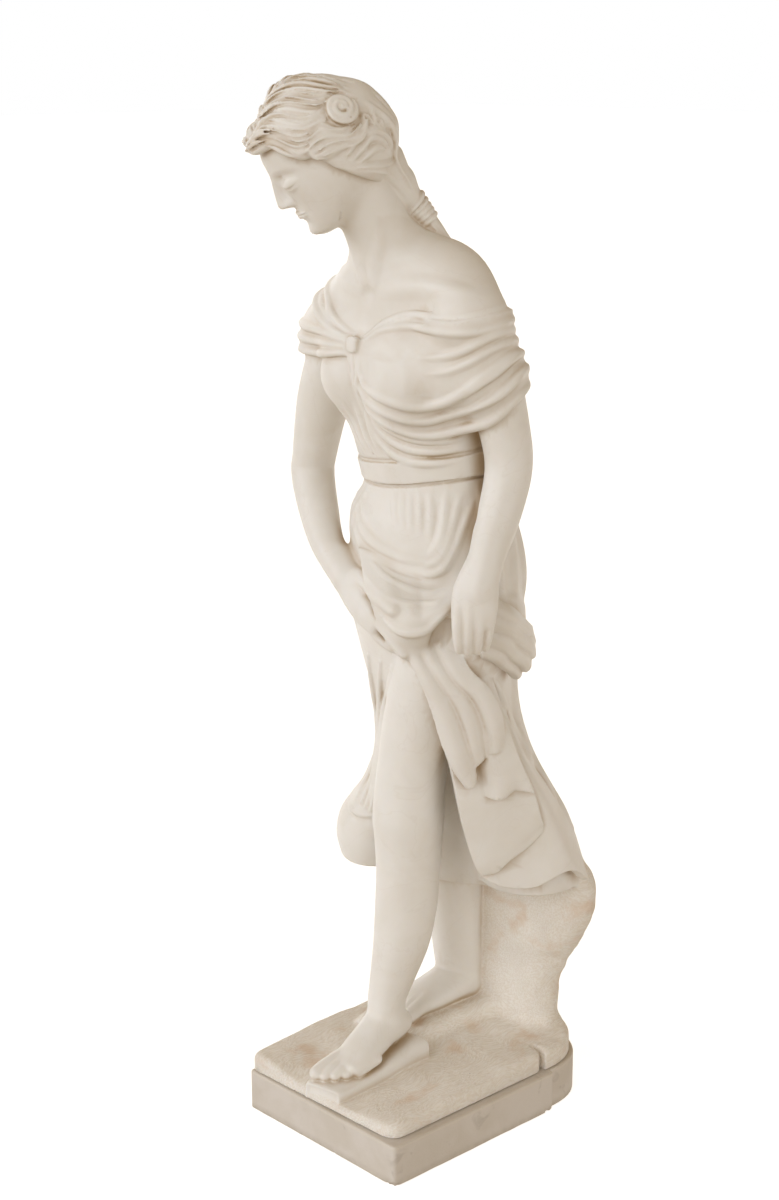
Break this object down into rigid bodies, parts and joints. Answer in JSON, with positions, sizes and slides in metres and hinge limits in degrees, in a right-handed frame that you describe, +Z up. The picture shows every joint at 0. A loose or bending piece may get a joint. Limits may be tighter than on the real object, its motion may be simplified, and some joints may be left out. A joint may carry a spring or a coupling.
{
  "type": "standing draped figure statue on a square plinth",
  "caption": "Standing woman carved in marble, gathering her skirt with both hands, on a low square plinth; a garden or hall statue that stands by its own weight",
  "frame": {"origin": "the middle of the plinth's square underside, on the floor", "axes": "+Z up; the figure faces -Y; her left side is +X"},
  "size_m": [0.4448, 0.4841, 1.5008],
  "materials": {
    "figure_marble": "satin, hand-rubbed",
    "plinth_marble": "matt, sawn and rubbed"
  },
  "bodies": {
    "root": {"figure": "figure_marble", "plinth": "plinth_marble"}
  },
  "joints": []
}
